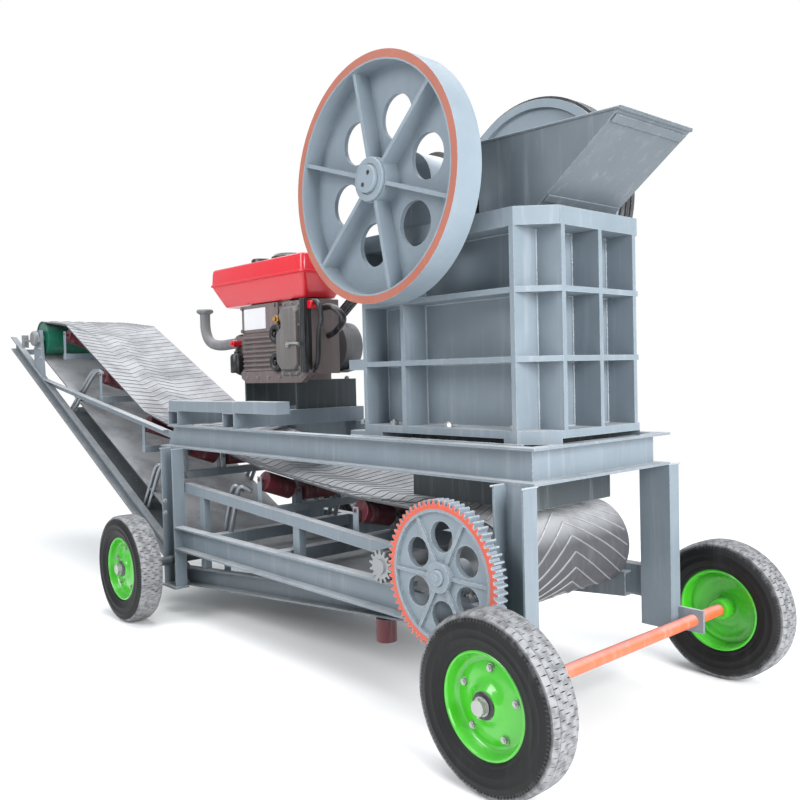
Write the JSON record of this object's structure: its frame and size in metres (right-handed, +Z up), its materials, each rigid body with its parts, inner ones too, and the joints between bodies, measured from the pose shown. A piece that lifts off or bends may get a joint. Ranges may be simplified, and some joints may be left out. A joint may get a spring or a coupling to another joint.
{
  "type": "wheeled diesel jaw crusher with discharge conveyor",
  "caption": "Wheeled jaw crusher with spoked flywheels and feed hopper on a channel frame, driven by a diesel engine, with a troughed belt conveyor to carry the stone away.",
  "frame": {"origin": "on the ground under the middle of the whole machine's bounding box", "axes": "+X towards the crusher's feed end, +Y towards the belt-drive side, +Z up"},
  "size_m": [5.697, 1.552, 2.4843],
  "materials": {
    "grey_paint": "satin",
    "dark_grey_paint": "satin",
    "orange_red_paint": "satin",
    "tyre": "matte",
    "green_paint": "gloss",
    "cast_manganese_steel": "rough",
    "bare_steel": "machined",
    "dark_green_paint": "satin",
    "black_rubber": "matte",
    "drive_belt_rubber": "matte",
    "maroon_paint": "satin",
    "red_paint": "gloss",
    "engine_casting": "rough",
    "bare_aluminium": "cast",
    "grey_cast_iron": "rough"
  },
  "bodies": {
    "machine": {"axle_front": "orange_red_paint", "axle_rear": "orange_red_paint", "belt_rails": "grey_paint", "body_front_wall": "grey_paint", "body_rear_wall": "grey_paint", "body_side_far": "grey_paint", "body_side_near": "grey_paint", "conveyor_belt": "black_rubber", "conveyor_chord_far": "grey_paint", "conveyor_chord_near": "grey_paint", "conveyor_drive_belt": "drive_belt_rubber", "conveyor_pan": "dark_grey_paint", "conveyor_stays": "grey_paint", "cross_ties": "grey_paint", "crusher_drive_belts": "drive_belt_rubber", "cylinder_head": "engine_casting", "discharge_skirt": "grey_paint", "engine_base": "grey_paint", "engine_block": "engine_casting", "engine_cross_tubes": "grey_paint", "engine_gear_cover": "bare_aluminium", "exhaust_elbow": "grey_cast_iron", "fixed_jaw": "cast_manganese_steel", "frame_beam_far": "grey_paint", "frame_beam_front": "grey_paint", "frame_beam_near": "grey_paint", "frame_cross_beam": "grey_paint", "fuel_tank": "red_paint", "head_bearings": "grey_paint", "hopper": "grey_paint", "idler_brackets": "grey_paint", "idler_rollers": "maroon_paint", "leg_front_far": "grey_paint", "leg_front_near": "grey_paint", "leg_rear_far": "grey_paint", "leg_rear_near": "grey_paint", "lower_rail_far": "grey_paint", "lower_rail_near": "grey_paint", "parking_jack": "maroon_paint", "rail_bearings": "grey_paint", "shaft_bearing_far": "grey_paint", "shaft_bearing_near": "grey_paint", "skid_rails": "grey_paint", "swing_jaw": "cast_manganese_steel"},
    "wheel_front_near": {"tyre_front_near": "tyre", "rim_front_near": "green_paint"},
    "wheel_front_far": {"tyre_front_far": "tyre", "rim_front_far": "green_paint"},
    "wheel_rear_near": {"tyre_rear_near": "tyre", "rim_rear_near": "green_paint"},
    "wheel_rear_far": {"tyre_rear_far": "tyre", "rim_rear_far": "green_paint"},
    "crusher_rotor": {"crusher_shaft": "bare_steel", "flywheel_near": "grey_paint", "flywheel_far": "grey_paint"},
    "engine_rotor": {"engine_flywheel": "grey_cast_iron"},
    "countershaft_rotor": {"countershaft": "bare_steel"},
    "tail_rotor": {"tail_drum": "bare_steel", "gear_wheel": "grey_paint"},
    "head_rotor": {"head_drum": "dark_green_paint"}
  },
  "joints": [
    {"name": "roll_front_near", "type": "hinge", "parent": "machine", "child": "wheel_front_near", "pos_m": [2.5685, -0.7, 0.28], "axis": [0, 1, 0], "continuous": true},
    {"name": "roll_front_far", "type": "hinge", "parent": "machine", "child": "wheel_front_far", "pos_m": [2.5685, 0.7, 0.28], "axis": [0, 1, 0], "continuous": true},
    {"name": "roll_rear_near", "type": "hinge", "parent": "machine", "child": "wheel_rear_near", "pos_m": [-0.029, -0.7, 0.28], "axis": [0, 1, 0], "continuous": true},
    {"name": "roll_rear_far", "type": "hinge", "parent": "machine", "child": "wheel_rear_far", "pos_m": [-0.029, 0.7, 0.28], "axis": [0, 1, 0], "continuous": true},
    {"name": "turn_crusher_shaft", "type": "hinge", "parent": "machine", "child": "crusher_rotor", "pos_m": [1.8285, 0, 2.007], "axis": [0, 1, 0], "continuous": true},
    {"name": "turn_engine_shaft", "type": "hinge", "parent": "machine", "child": "engine_rotor", "pos_m": [0.3365, 0.35, 1.44], "axis": [0, 1, 0], "continuous": true},
    {"name": "turn_countershaft", "type": "hinge", "parent": "machine", "child": "countershaft_rotor", "pos_m": [1.86173, 0, 0.553], "axis": [0, 1, 0], "continuous": true},
    {"name": "turn_tail_drum", "type": "hinge", "parent": "machine", "child": "tail_rotor", "pos_m": [2.1815, 0, 0.565], "axis": [0, 1, 0], "continuous": true},
    {"name": "turn_head_drum", "type": "hinge", "parent": "machine", "child": "head_rotor", "pos_m": [-2.2735, 0, 1.6], "axis": [0, 1, 0], "continuous": true}
  ],
  "couplings": [
    {"joint": "turn_engine_shaft", "follows": "turn_crusher_shaft", "ratio": 3.3214},
    {"joint": "turn_countershaft", "follows": "turn_crusher_shaft", "ratio": 0.66667},
    {"joint": "turn_tail_drum", "follows": "turn_crusher_shaft", "ratio": -0.14141},
    {"joint": "turn_head_drum", "follows": "turn_crusher_shaft", "ratio": -0.19037}
  ]
}
